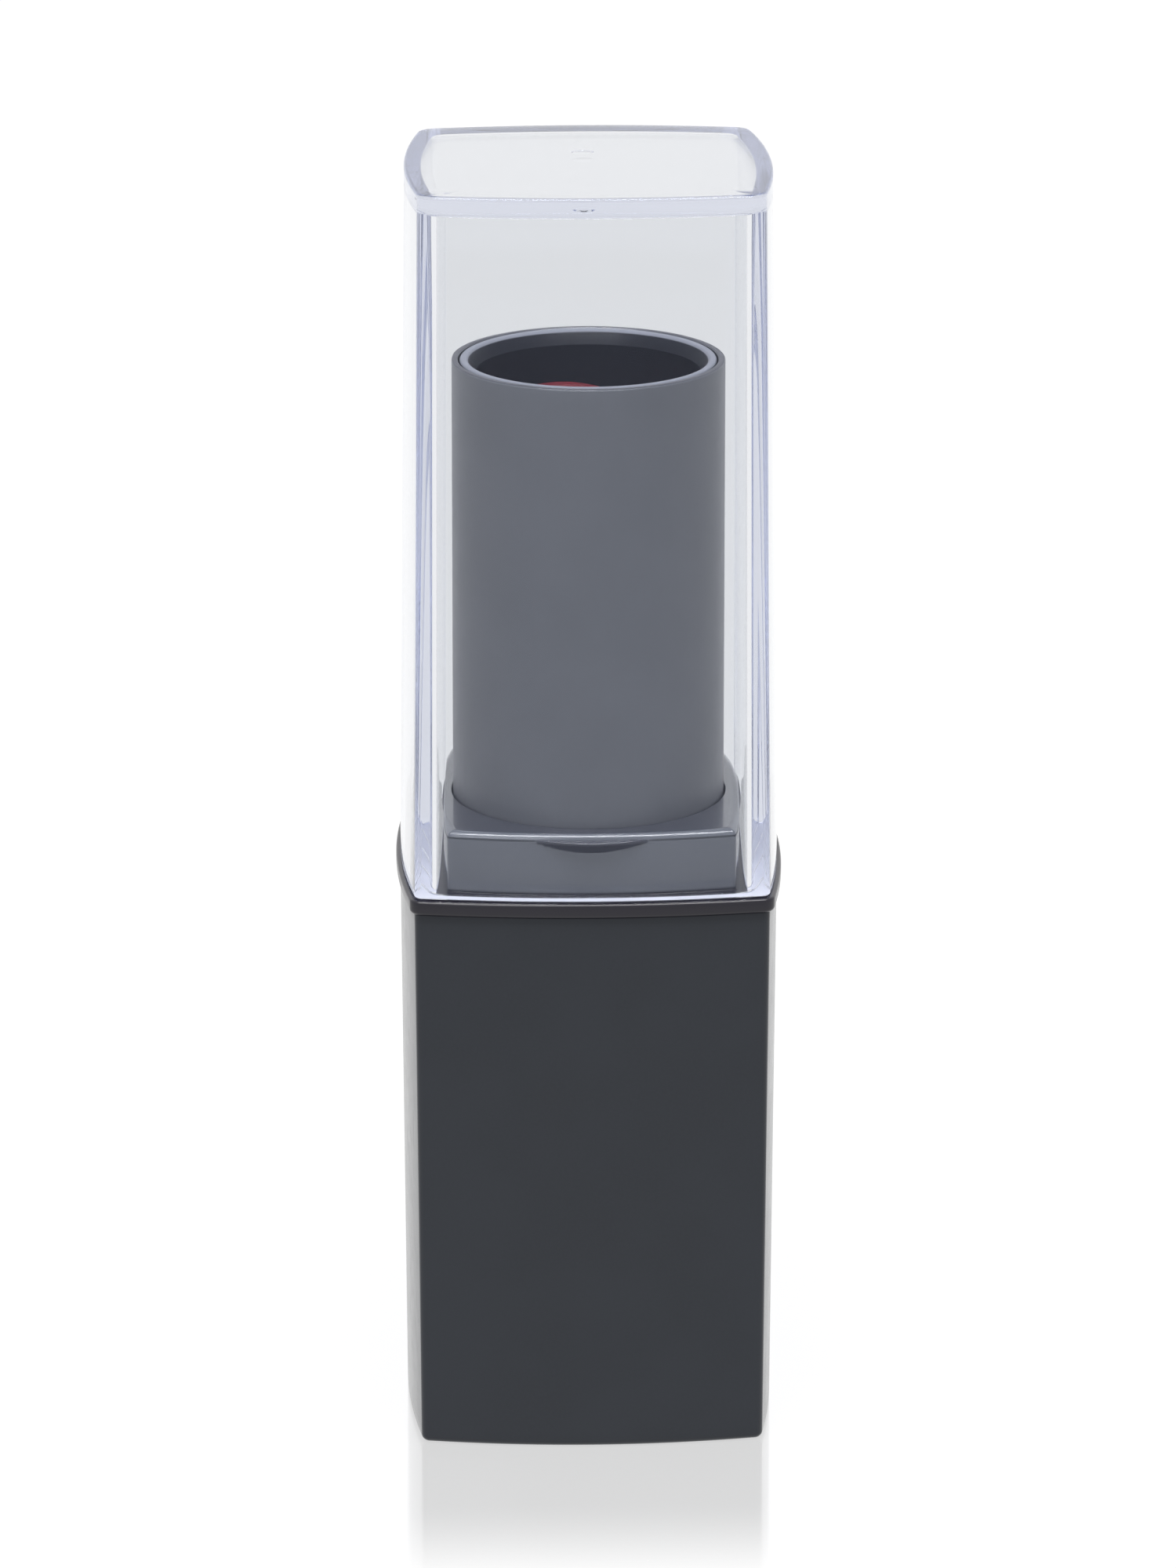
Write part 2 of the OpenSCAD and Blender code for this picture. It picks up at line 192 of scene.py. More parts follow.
def bowed(half, bow, radius, push=None):
    """Outline of a square whose sides are shallow arcs and whose corners are rounded. push gives how
    far a point of a side stands out, from its distance to the middle of the side."""
    chord = half - bow
    arc = (chord * chord + bow * bow) / (2 * bow)
    back = arc - half
    corner = (math.sqrt(2 * (arc - radius) ** 2 - back * back) - back) / 2
    meet = math.atan2(corner, corner + back)
    side = [Vector((arc * math.cos(a) - back, arc * math.sin(a))) for a in spread(-meet, meet, SIDE_STEPS)]
    if push:
        side = [p + Vector((push(abs(p.y)), 0)) for p in side]
    turn = spread(meet, math.pi / 2 - meet, CORNER_STEPS)
    rounding = [Vector((corner + radius * math.cos(a), corner + radius * math.sin(a))) for a in turn]
    return [Matrix.Rotation(k * math.pi / 2, 2) @ p for k in range(4) for p in side + rounding]


def square_ring(half, z, bow, radius, push=None):
    """A bowed square at height z."""
    return [Vector((p.x, p.y, z)) for p in bowed(half, bow, radius, push)]


def round_ring(radius, z, like=None, centre=(0.0, 0.0)):
    """A circle at height z. Its points stand at the angles of the ring that it joins, if one is given."""
    if like is None:
        angles = spread(0, 2 * math.pi, RING_STEPS)
    else:
        angles = [math.atan2(p.y - centre[1], p.x - centre[0]) for p in like]
    return [Vector((centre[0] + radius * math.cos(a), centre[1] + radius * math.sin(a), z)) for a in angles]


def quarter(radius, start, end):
    """Pairs (across, up) along a rounding of that radius, from one angle to another in degrees."""
    angles = [math.radians(start + (end - start) * i / FILLET_STEPS) for i in range(FILLET_STEPS + 1)]
    return [(radius * math.cos(a), radius * math.sin(a)) for a in angles]


def lofted(name, rings, loop=False, first=None, last=None):
    """A mesh object through the rings in order. The ends close on the points first and last, or meet
    each other in a loop."""
    bm = bmesh.new()
    made = [[bm.verts.new(p) for p in ring] for ring in rings]
    count = len(rings[0])
    pairs = list(zip(made, made[1:]))
    if loop:
        pairs.append((made[-1], made[0]))
    for low, high in pairs:
        for i in range(count):
            j = (i + 1) % count
            bm.faces.new((low[i], low[j], high[j], high[i]))
    for point, ring in ((first, made[0]), (last, made[-1])):
        if point is not None:
            tip = bm.verts.new(point)
            for i in range(count):
                bm.faces.new((tip, ring[i], ring[(i + 1) % count]))
    bmesh.ops.recalc_face_normals(bm, faces=bm.faces)
    return mesh_object(name, bm)


def mesh_object(name, bm):
    """A smooth-shaded object from a bmesh, which is freed."""
    mesh = bpy.data.meshes.new(name)
    bm.to_mesh(mesh)
    bm.free()
    for face in mesh.polygons:
        face.use_smooth = True
    made = bpy.data.objects.new(name, mesh)
    bpy.context.scene.collection.objects.link(made)
    return made


def turned(name, profile):
    """A closed ring-shaped body turned round the axis from (radius, height) points."""
    return lofted(name, [round_ring(r, z) for r, z in profile], loop=True)


def rod(name, radius, start, end, steps=48):
    """A plain round bar between two points, used to cut or add."""
    bm = bmesh.new()
    bmesh.ops.create_cone(bm, cap_ends=True, segments=steps, radius1=radius, radius2=radius,
                          depth=(end - start).length)
    aim = (end - start).to_track_quat("Z", "Y").to_matrix().to_4x4()
    bmesh.ops.transform(bm, matrix=Matrix.Translation((start + end) / 2) @ aim, verts=bm.verts)
    return mesh_object(name, bm)


def block(name, low, high, turn=0.0):
    """A plain block between two corners, turned about the axis, used to cut or add."""
    bm = bmesh.new()
    bmesh.ops.create_cube(bm, size=1.0)
    size = high - low
    place = Matrix.Rotation(turn, 4, "Z") @ Matrix.Translation((low + high) / 2)
    bmesh.ops.transform(bm, matrix=place @ Matrix.Diagonal((*size, 1.0)), verts=bm.verts)
    return mesh_object(name, bm)


def worked(piece, tool, operation):
    """piece with the tool cut from it or added to it; the tool is used up."""
    modifier = piece.modifiers.new("work", "BOOLEAN")
    modifier.operation = operation
    modifier.solver = "EXACT"
    modifier.object = tool
    bpy.context.view_layer.update()
    graph = bpy.context.evaluated_depsgraph_get()
    mesh = bpy.data.meshes.new_from_object(piece.evaluated_get(graph))
    piece.modifiers.clear()
    old = piece.data
    piece.data = mesh
    bpy.data.meshes.remove(old)
    bpy.data.objects.remove(tool)
    return piece


def finished(piece, body, node, material, sharp=40):
    """Gives a piece its material, its shading and its body, and hides the CAD node that it stands for."""
    piece.data.materials.clear()
    piece.data.materials.append(material)
    piece.data.set_sharp_from_angle(angle=math.radians(sharp))
    weighted = piece.modifiers.new("face weighted normals", "WEIGHTED_NORMAL")
    weighted.keep_sharp = True
    weighted.weight = 80
    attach(piece, body)
    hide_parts(node)
    return piece


# Shader trees

class Wire:
    """An output socket that takes part in arithmetic. Each operation adds a Math node."""

    def __init__(self, tree, socket):
        """socket is an output socket of a node in the tree."""
        self.tree = tree
        self.socket = socket

    def out(self, name):
        """Another output of the same node."""
        return Wire(self.tree, self.socket.node.outputs[name])

    def maths(self, operation, *values):
        """A Math node on the values, which are wires or numbers."""
        return self.tree.node("ShaderNodeMath", {"operation": operation}, dict(enumerate(values)))

    def __add__(self, other):
        return self.maths("ADD", self, other)

    def __radd__(self, other):
        return self.maths("ADD", other, self)

    def __sub__(self, other):
        return self.maths("SUBTRACT", self, other)

    def __rsub__(self, other):
        return self.maths("SUBTRACT", other, self)

    def __mul__(self, other):
        return self.maths("MULTIPLY", self, other)

    def __rmul__(self, other):
        return self.maths("MULTIPLY", other, self)

    def __abs__(self):
        return self.maths("ABSOLUTE", self)

    def larger(self, other):
        """The larger of the two values."""
        return self.maths("MAXIMUM", self, other)

    def step(self, start, end):
        """0 before start and 1 after end, with a smooth change between."""
        settings = {"interpolation_type": "SMOOTHSTEP", "clamp": True}
        return self.tree.node("ShaderNodeMapRange", settings,
                              {"Value": self, "From Min": start, "From Max": end})


class Tree:
    """The node tree of a material or of the world."""

    def __init__(self, owner):
        """Starts an empty tree in a material or a world."""
        owner.use_nodes = True
        self.nodes = owner.node_tree.nodes
        self.links = owner.node_tree.links
        self.nodes.clear()

    def node(self, kind, settings=None, inputs=None, output=0):
        """Adds a node, sets it up, fills or links its inputs and gives one of its outputs."""
        made = self.nodes.new(kind)
        for name, value in (settings or {}).items():
            setattr(made, name, value)
        for name, value in (inputs or {}).items():
            if isinstance(value, Wire):
                self.links.new(value.socket, made.inputs[name])
            else:
                made.inputs[name].default_value = value
        return Wire(self, made.outputs[output]) if made.outputs else None

    def place(self):
        """Object coordinates in metres, the same for every piece at rest."""
        return self.node("ShaderNodeTexCoord", output="Object")

    def axis(self, name):
        """One object coordinate in millimetres."""
        return self.node("ShaderNodeSeparateXYZ", inputs={"Vector": self.place()}, output=name) * IN_MM

    def stretched(self, scale):
        """Object coordinates stretched for a grain that runs one way."""
        return self.node("ShaderNodeVectorMath", {"operation": "MULTIPLY"}, {0: self.place(), 1: scale})

    def noise(self, size, detail=3.0, vector=None, rough=0.55):
        """Noise from about 0 to 1 with features of that size in metres."""
        return self.node("ShaderNodeTexNoise", {"noise_dimensions": "3D"},
                         {"Vector": vector or self.place(), "Scale": 1 / size, "Detail": detail,
                          "Roughness": rough})

    def mixed(self, factor, first, second):
        """A mix of two colours."""
        colours = {0: factor, 6: first, 7: second}
        return self.node("ShaderNodeMix", {"data_type": "RGBA"}, colours, output=2)

    def bump(self, height, distance, strength=1.0):
        """A normal raised by the height, whose full range stands for the distance in metres."""
        return self.node("ShaderNodeBump", inputs={"Height": height, "Distance": distance,
                                                   "Strength": strength})


def solid(rgb):
    """A colour with full alpha."""
    return (*rgb, 1.0)


def shaded(rgb, by):
    """A colour made lighter or darker."""
    return (*[min(1.0, c * by) for c in rgb], 1.0)


def moulded_plastic(name, rgb, roughness, grain, relief, specular=0.5, draw=False, tint=None, coat=None):
    """Moulded plastic: fine grain, soft flow marks in its colour and gloss, and a few hairline
    scratches. With draw, the grain runs along the axis, as the mould's polish leaves it. tint may
    change the colour over the surface, and coat gives where it is polished."""
    material = bpy.data.materials.new(name)
    tree = Tree(material)
    flow = tree.noise(6 * MM, 2.0)
    along = tree.stretched((1.0, 1.0, 0.08)) if draw else None
    fine = tree.noise(grain, 2.0, along)
    haze = tree.noise(1.1 * MM, 4.0)
    scratch = tree.noise(0.35 * MM, 1.0, tree.stretched((1.0, 0.9, 0.05)))
    hairline = scratch.step(0.70, 0.74)
    colour_now = tree.mixed(flow.step(0.3, 0.7), shaded(rgb, 0.95), shaded(rgb, 1.05))
    colour_now = tree.mixed(fine.step(0.2, 0.8) * 0.35, colour_now, shaded(rgb, 1.18))
    if tint:
        colour_now = tint(tree, colour_now)
    gloss = roughness + (haze - 0.5) * 0.10 + (flow - 0.5) * 0.06 + hairline * 0.04
    normal = tree.bump(fine - hairline * 0.25, relief)
    shader = tree.node("ShaderNodeBsdfPrincipled", inputs={
        "Base Color": colour_now, "Roughness": gloss, "Specular IOR Level": specular, "Normal": normal,
        "Coat Weight": coat(tree) if coat else 0.0, "Coat Roughness": 0.08})
    tree.node("ShaderNodeOutputMaterial", inputs={"Surface": shader})
    return material


def clear_plastic(name, colours, foot):
    """Polished clear plastic whose foot is a pale diffuse band, painted light that stands in for the light
    carried down its walls. Lamps shine through it, and its thickness tints it."""
    material = bpy.data.materials.new(name)
    tree = Tree(material)
    haze = tree.noise(0.9 * MM, 3.0)
    wipe = tree.noise(0.25 * MM, 1.0, tree.stretched((1.0, 1.0, 0.06)))
    smear = haze.step(0.5, 0.9) * 0.03 + wipe.step(0.7, 0.8) * 0.03
    normal = tree.bump(tree.noise(4.0 * MM, 1.0), 0.005 * MM, 0.25)
    glass = tree.node("ShaderNodeBsdfPrincipled", inputs={
        "Base Color": solid(colours.clear), "Roughness": smear, "Normal": normal, "IOR": 1.49,
        "Transmission Weight": 1.0, "Specular Tint": (0.38, 0.41, 0.52, 1.0)})
    # painted light: a pale diffuse foot stands in for the light that the clear walls carry down to the foot
    foot_painted_light = tree.node("ShaderNodeBsdfDiffuse", inputs={"Color": solid(colours.foot_painted_light)})
    foot_painted_light_share = (1 - tree.axis("Z").step(foot + 0.01, foot + 0.06)) * 0.9
    glass = tree.node("ShaderNodeMixShader", inputs={0: foot_painted_light_share, 1: glass, 2: foot_painted_light})
    path = tree.node("ShaderNodeLightPath", output="Is Shadow Ray")
    through = tree.node("ShaderNodeBsdfTransparent", inputs={"Color": (0.90, 0.91, 0.93, 1.0)})
    passing = path.larger(path.out("Is Diffuse Ray"))
    lit = tree.node("ShaderNodeMixShader", inputs={0: passing, 1: glass, 2: through})
    depth_tint = (0.50, 0.55, 0.74, 1.0)
    depth = tree.node("ShaderNodeVolumeAbsorption", inputs={"Color": depth_tint, "Density": 22.0})
    tree.node("ShaderNodeOutputMaterial", inputs={"Surface": lit, "Volume": depth})
    return material


def lipstick_wax(name, rgb):
    """Satin lipstick with faint pour marks."""
    material = bpy.data.materials.new(name)
    tree = Tree(material)
    pour = tree.noise(1.6 * MM, 3.0, tree.stretched((1.0, 1.0, 0.5)))
    fine = tree.noise(0.12 * MM, 2.0)
    shade = tree.mixed(pour.step(0.3, 0.7), shaded(rgb, 0.88), shaded(rgb, 1.12))
    shader = tree.node("ShaderNodeBsdfPrincipled", inputs={
        "Base Color": shade, "Roughness": 0.42 + (pour - 0.5) * 0.16, "Specular IOR Level": 0.3,
        "Subsurface Weight": 0.15, "Subsurface Radius": (0.8 * MM, 0.25 * MM, 0.2 * MM),
        "Normal": tree.bump(fine + pour, 0.006 * MM)})
    tree.node("ShaderNodeOutputMaterial", inputs={"Surface": shader})
    return material


def coated_paper(name, rgb):
    """Coated label paper with visible fibres."""
    material = bpy.data.materials.new(name)
    tree = Tree(material)
    fibre = tree.noise(0.3 * MM, 5.0, tree.stretched((1.0, 0.3, 1.0)))
    shade = tree.mixed(fibre.step(0.35, 0.7), shaded(rgb, 0.94), shaded(rgb, 1.02))
    shader = tree.node("ShaderNodeBsdfPrincipled", inputs={
        "Base Color": shade, "Roughness": 0.5 + fibre * 0.2, "Normal": tree.bump(fibre, 0.01 * MM)})
    tree.node("ShaderNodeOutputMaterial", inputs={"Surface": shader})
    return material


# Places shared by the pieces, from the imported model

def top_of(node):
    """Height of the top of a CAD node."""
    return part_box(node)[1].z


def foot_of(node):
    """Height of the foot of a CAD node."""
    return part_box(node)[0].z


def half_of(node):
    """Reach of a CAD node along X from the axis."""
    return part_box(node)[1].x


# Pieces

def build_cap(sizes, colours):
    """Thick clear cap. The rings run from the ceiling down inside, round the rim and up outside."""
    foot, top = foot_of("cap"), top_of("cap")
    half = half_of("cap")
    half_top = half - sizes.cap_draft
    ceiling = top - sizes.cap_top
    inner, inner_top = half - sizes.cap_wall, half_top - sizes.cap_wall_top
    edge, bow = sizes.edge, sizes.cavity_bow
    rise, brow = 0.3 * edge, sizes.cap_edge
    gate = Vector((-0.25 * MM, 2.5 * MM))
    gate_deep = 0.06

    def inside(z, inset=0.0):
        share = (z - foot) / (ceiling - foot)
        return square_ring(inner + (inner_top - inner) * share - inset, z, bow, sizes.cavity_corner - inset)

    def outside(z, inset=0.0):
        share = (z - foot) / (top - foot)
        radius = sizes.corner + (sizes.cap_corner - sizes.corner) * share - inset
        return square_ring(half + (half_top - half) * share - inset, z, sizes.side_bow, radius)

    flat = inside(ceiling, rise)
    rings = [[Vector((p.x * s, p.y * s, ceiling)) for p in flat] for s in (0.2, 0.4, 0.6, 0.8, 0.92)]
    rings += [inside(ceiling - rise + up, rise - across) for across, up in quarter(rise, 90, 0)]
    rings += [inside(ceiling + (foot - ceiling) * s) for s in (0.15, 0.3, 0.5, 0.7, 0.85)]
    rings += [inside(foot + edge - down, across - edge) for across, down in quarter(edge, 0, 90)]
    rings += [outside(foot + edge - down, edge - across) for across, down in quarter(edge, 90, 0)]
    rings += [outside(foot + (top - foot) * s) for s in (0.1, 0.3, 0.5, 0.7, 0.9)]
    rings += [outside(top - brow + up, brow - across) for across, up in quarter(brow, 0, 90)]
    rim = rings[-1]
    for share in (0.12, 0.3, 0.5, 0.7, 0.85):
        rings.append([Vector((p.x + (gate.x - p.x) * share, p.y + (gate.y - p.y) * share, top))
                      for p in rim])
    mark = sizes.gate_across / 2
    for across, down in ((1.0, 0.0), (0.92, 0.05), (0.5, gate_deep)):
        rings.append(round_ring(mark * across, top - down * MM, rim, gate))
    piece = lofted("clear_cap", rings, first=Vector((0, 0, ceiling)),
                   last=Vector((gate.x, gate.y, top - gate_deep * MM)))
    finished(piece, "cap", "cap", clear_plastic("clear plastic", colours, foot * IN_MM))


def build_housing(sizes, colours):
    """Square base: cavity floor, cavity walls, top edge, drafted outer walls, foot and label recess."""
    top = top_of("base_shell")
    half = half_of("base_shell")
    foot_half = half - sizes.base_draft
    inner = foot_half - sizes.base_wall
    edge, foot = 0.2 * sizes.edge, sizes.foot_round
    label = half_of("shade_label") + 0.2 * MM
    recess = top_of("shade_label")

    def outside(z, inset=0.0):
        return square_ring(foot_half + sizes.base_draft * z / top - inset, z, sizes.side_bow,
                           max(sizes.corner - inset, 0.2 * edge))

    def inside(z, inset=0.0):
        return square_ring(inner - inset, z, sizes.cavity_bow, sizes.corner)

    floor = inside(sizes.base_floor)
    rings = [[Vector((p.x * s, p.y * s, p.z)) for p in floor] for s in (0.3, 0.7, 0.98)]
    rings += [floor] + [inside(sizes.base_floor + (top - sizes.base_floor) * s) for s in (0.02, 0.5, 0.98)]
    rings += [inside(top - edge), inside(top, -edge), outside(top, edge)]
    rings += [outside(top - edge + up, edge - across) for across, up in quarter(edge, 90, 0)]
    rings += [outside(top * s) for s in (0.98, 0.9, 0.7, 0.5, 0.3, 0.1, 0.03)]
    rings += [outside(foot + up, foot - across) for across, up in quarter(foot, 0, -90)]
    under = rings[-1]
    rings += [[Vector((p.x * s, p.y * s, 0)) for p in under] for s in (0.99, 0.9)]
    rings += [round_ring(label + edge, 0, under), round_ring(label, edge, under)]
    rings += [round_ring(label * s, recess, under) for s in (1.0, 0.97, 0.5)]
    piece = lofted("base_housing", rings, first=Vector((0, 0, sizes.base_floor)),
                   last=Vector((0, 0, recess)))
    finish = moulded_plastic("case plastic", colours.case, 0.17, 0.16 * MM, 0.0008 * MM, specular=0.28)
    finished(piece, "base", "base_shell", finish)


def build_collar(sizes, colours):
    """Collar: skirt in the base, flange under the cap, plinth with a snap bead on each side, and bore."""
    foot, top = foot_of("collar"), top_of("collar")
    low = top_of("base_shell")
    high = low + sizes.flange
    half = half_of("collar")
    skirt = half_of("base_shell") - sizes.base_draft - sizes.base_wall - sizes.skirt_gap
    edge, lower = sizes.edge, sizes.flange_round
    small = 0.4 * edge
    shoulder = sizes.plinth_edge

    def flange(z, inset):
        return square_ring(half - inset, z, sizes.side_bow, max(sizes.corner + 0.25 * MM - inset, small))

    def plinth(z, inset=0.0, push=None):
        radius = max(sizes.plinth_corner - inset, 0.5 * small)
        return square_ring(sizes.plinth_half - inset, z, sizes.plinth_bow, radius, push)

    def bead_push(share):
        half_long = sizes.bead_long / 2
        return lambda s: max(0.0, sizes.bead_out * (share - (s / half_long) ** 2))

    bead_top = top - sizes.bead_down
    bead_foot = bead_top - sizes.bead_high
    slope = sizes.bead_high - sizes.bead_land
    rings = [square_ring(skirt - small, foot, sizes.cavity_bow, sizes.corner - small),
             square_ring(skirt, foot + small, sizes.cavity_bow, sizes.corner),
             square_ring(skirt, low - small, sizes.cavity_bow, sizes.corner),
             square_ring(skirt, low, sizes.cavity_bow, sizes.corner)]
    rings += [flange(low, lower + small)]
    rings += [flange(low + lower + up, lower - across) for across, up in quarter(lower, -90, 0)]
    rings += [flange(high - edge + up, edge - across) for across, up in quarter(edge, 0, 90)]
    rings += [flange(high, edge + small), plinth(high, -2 * small), plinth(high, -small)]
    rings += [plinth(high + small - up, -small + across) for across, up in quarter(small, 60, 10)]
    rings += [plinth(high + 0.5 * MM), plinth(bead_foot - 0.1 * MM)]
    rings += [plinth(bead_foot + slope * share, push=bead_push(share))
              for share in (0.0, 0.15, 0.3, 0.45, 0.6, 0.75, 0.88, 0.97)]
    rings += [plinth(bead_foot + slope + 0.02 * MM, push=bead_push(1.0)),
              plinth(bead_top - 0.03 * MM, push=bead_push(1.0)),
              plinth(bead_top, push=bead_push(0.95)), plinth(bead_top + 0.01 * MM)]
    rings += [plinth(top - shoulder + up, shoulder - across) for across, up in quarter(shoulder, 0, 90)]
    rim = plinth(top, shoulder + small)
    rings += [rim]
    rings += [round_ring(sizes.bore + 2 * small, top, rim), round_ring(sizes.bore + small, top, rim)]
    rings += [round_ring(sizes.bore + small - across, top - small + up, rim)
              for across, up in quarter(small, 90, 0)]
    step = low - sizes.ledge
    rings += [round_ring(sizes.bore, z, rim) for z in (high, step + small, step)]
    rings += [round_ring(sizes.counterbore, z, rim) for z in (step, step - small, foot + small)]
    rings += [round_ring(sizes.counterbore + small, foot, rim)]
    piece = lofted("collar_plinth", rings, loop=True)
    dark = solid(colours.flange)
    chord = sizes.plinth_half - sizes.plinth_bow
    around = (chord * chord + sizes.plinth_bow ** 2) / sizes.plinth_bow * IN_MM

    def on_bead(tree):
        """Where the snap beads stand out of the plinth's sides."""
        x, y = abs(tree.axis("X")), abs(tree.axis("Y"))
        proud = (y + x * x * (1 / around)).larger(x + y * y * (1 / around)) - sizes.plinth_half * IN_MM
        return proud.step(0.0, 0.03) * (1 - (x - y).step(-1.0, 0.0) * (y - x).step(-1.0, 0.0))

    def zones_and_painted_shade(tree, plain):
        """Dark flange and satin sides of the plinth, with painted shade: the plinth's top and its beads are
        darkened with the rim colour.
        """
        z, bead = tree.axis("Z"), on_bead(tree)
        painted_shade_on_top = z.step(top * IN_MM - 0.04, top * IN_MM - 0.01)
        # painted shade: the plinth's top and the beads take the rim colour
        shade = tree.mixed(painted_shade_on_top.larger(bead), plain, solid(colours.rim))
        return tree.mixed(z.step(high * IN_MM + 0.05, high * IN_MM + 0.25), dark, shade)

    def polish(tree):
        """Only the plinth is polished, and not on its beads."""
        return tree.axis("Z").step(high * IN_MM + 0.05, high * IN_MM + 0.25) * (1 - on_bead(tree))

    finish = moulded_plastic("collar plastic", colours.collar, 0.22, 0.14 * MM, 0.0008 * MM, specular=0.4,
                             tint=zones_and_painted_shade, coat=polish)
    finished(piece, "base", "collar", finish)


def build_tube(sizes, colours):
    """Round tube that is turned by hand, with its retaining foot."""
    foot, top = foot_of("twist_tube"), top_of("twist_tube")
    joint = top_of("collar")
    edge = 0.8 * sizes.edge
    stop = half_of("twist_tube")
    outer, bore = sizes.tube_radius, sizes.tube_bore
    rim = [(outer - edge + across, top - edge + up) for across, up in quarter(edge, 0, 90)]
    profile = [(bore, foot + edge), (bore + edge, foot), (stop - edge, foot), (stop, foot + edge)]
    profile += [(stop, foot + sizes.stop - edge), (stop - edge, foot + sizes.stop)]
    profile += [(sizes.tube_foot, z) for z in (foot + sizes.stop, joint - 0.2 * MM, joint)]
    profile += [(sizes.tube_foot + (outer - sizes.tube_foot) * s, joint + (top - joint) * s)
                for s in (0.1, 0.3, 0.5, 0.7, 0.9, 0.97)]
    profile += rim + [(bore + 0.5 * edge, top), (bore, top - 0.5 * edge), (bore, top - sizes.lip)]
    piece = turned("turning_tube", profile)

    def bare_rim(tree, plain):
        """The finish ends at the rim, which shows the dark plastic."""
        bare = tree.axis("Z").step(top * IN_MM - 0.05, top * IN_MM - 0.02)
        return tree.mixed(bare, plain, solid(colours.rim))

    finish = moulded_plastic("tube plastic", colours.tube, 0.34, 0.18 * MM, 0.0006 * MM, draw=True,
                             tint=bare_rim)
    finished(piece, "twist", "twist_tube", finish)


def build_guide(sizes, colours):
    """Slotted guide tube: keyed foot, upright slots and the lip round the mouth."""
    foot, top = foot_of("inner_tube"), top_of("inner_tube")
    rest = foot_of("bullet_cup") - 0.2 * MM
    lip_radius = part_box("inner_tube")[1].y
    outer, bore = sizes.guide_radius, sizes.guide_bore
    edge = sizes.edge
    travel = frame_travel()
    land = lip_radius - sizes.lip_land
    key_half, key_high, key_in = 0.8 * MM, 4 * MM, 0.3 * MM
    profile = [(sizes.guide_ledge, foot), (outer, foot), (outer, top - sizes.lip)]
    profile += [(lip_radius, top - sizes.lip)]
    profile += [(lip_radius - edge + across, top - edge + up) for across, up in quarter(edge, 0, 90)]
    profile += [(land + edge * (1 - s), top - edge * 0.4 * s * s) for s in (0.0, 0.5, 1.0)]
    profile += [(bore + 0.1 * MM, top - sizes.lip + 0.15 * MM), (bore, top - sizes.lip)]
    profile += [(bore, rest), (sizes.guide_ledge, rest)]
    piece = turned("guide_tube", profile)
    low = foot_of("bullet_cup") + sizes.lug_up
    for turn in (0.0, math.pi):
        way = Vector((math.cos(turn), math.sin(turn), 0))
        start, end = way * (bore - MM), way * (outer + MM)
        for z in (low, low + travel):
            rise = Vector((0, 0, z))
            worked(piece, rod("slot end", sizes.slot / 2, start + rise, end + rise), "DIFFERENCE")
        worked(piece, block("slot", Vector((bore - MM, -sizes.slot / 2, low)),
                            Vector((outer + MM, sizes.slot / 2, low + travel)), turn), "DIFFERENCE")
        worked(piece, block("key", Vector((outer - key_in, -key_half, foot)),
                            Vector((half_of("inner_tube"), key_half, foot + key_high)), turn), "UNION")
    # colour of the painted highlight on the lip's land
    pale = solid(colours.lip)

    def on_lip(tree, plain):
        """Painted highlight: the land on top of the lip is painted paler."""
        lip_painted_highlight = tree.axis("Z").step((top - 1.2 * edge) * IN_MM, (top - 0.6 * edge) * IN_MM)
        return tree.mixed(lip_painted_highlight, plain, pale)

    finish = moulded_plastic("mechanism plastic", colours.guide, 0.45, 0.15 * MM, 0.001 * MM, specular=0.1,
                             tint=on_lip)
    finished(piece, "base", "inner_tube", finish, sharp=30)


def frame_travel():
    """How far the cup rises, from the joint's range."""
    return next(j["range_m"][1] for j in frame["joints"] if j["name"] == "cup_rise")


def grip_ribs(sizes, grow):
    """Six upright ribs inside the cup, as one tool, grown all round to cut their grooves."""
    low = foot_of("bullet_cup") + sizes.cup_floor
    half_wide, proud, sunk, high = 0.3 * MM, 0.3 * MM, 0.2 * MM, 6 * MM
    bm = bmesh.new()
    for k in range(6):
        turn = Matrix.Rotation(math.radians(60 * k + 30), 4, "Z")
        start = Vector((sizes.cup_bore - proud - grow, -half_wide - grow, low - grow))
        end = Vector((sizes.cup_bore + sunk, half_wide + grow, low + high + grow))
        size = end - start
        place = turn @ Matrix.Translation((start + end) / 2) @ Matrix.Diagonal((*size, 1.0))
        bmesh.ops.create_cube(bm, size=1.0, matrix=place)
    return mesh_object("grip ribs", bm)


def build_cup(sizes, colours):
    """Cup that carries the bullet, with its two lugs and grip ribs."""
    foot, top = foot_of("bullet_cup"), top_of("bullet_cup")
    outer, bore = sizes.cup_radius, sizes.cup_bore
    edge = 0.8 * sizes.edge
    floor = foot + sizes.cup_floor
    profile = [(0.4 * bore, floor), (bore - edge, floor), (bore, floor + edge), (bore, top - edge)]
    profile += [(bore + 0.5 * edge, top), (outer - edge, top)]
    profile += [(outer - edge + across, top - edge + up) for across, up in quarter(edge, 90, 0)]
    profile += [(outer, foot + edge), (outer - edge, foot), (0.4 * outer, foot)]
    rings = [round_ring(r, z) for r, z in profile]
    piece = lofted("bullet_carrier", rings, first=Vector((0, 0, floor)), last=Vector((0, 0, foot)))
    reach = half_of("bullet_cup")
    for way in (-1, 1):
        centre = Vector((0, 0, foot + sizes.lug_up))
        lug = rod("lug", sizes.lug / 2, centre + Vector((way * (bore + 0.1 * MM), 0, 0)),
                  centre + Vector((way * reach, 0, 0)))
        worked(piece, lug, "UNION")
    worked(piece, grip_ribs(sizes, 0.0), "UNION")
    finish = moulded_plastic("cup plastic", colours.guide, 0.30, 0.15 * MM, 0.002 * MM)
    finished(piece, "carrier", "bullet_cup", finish, sharp=30)


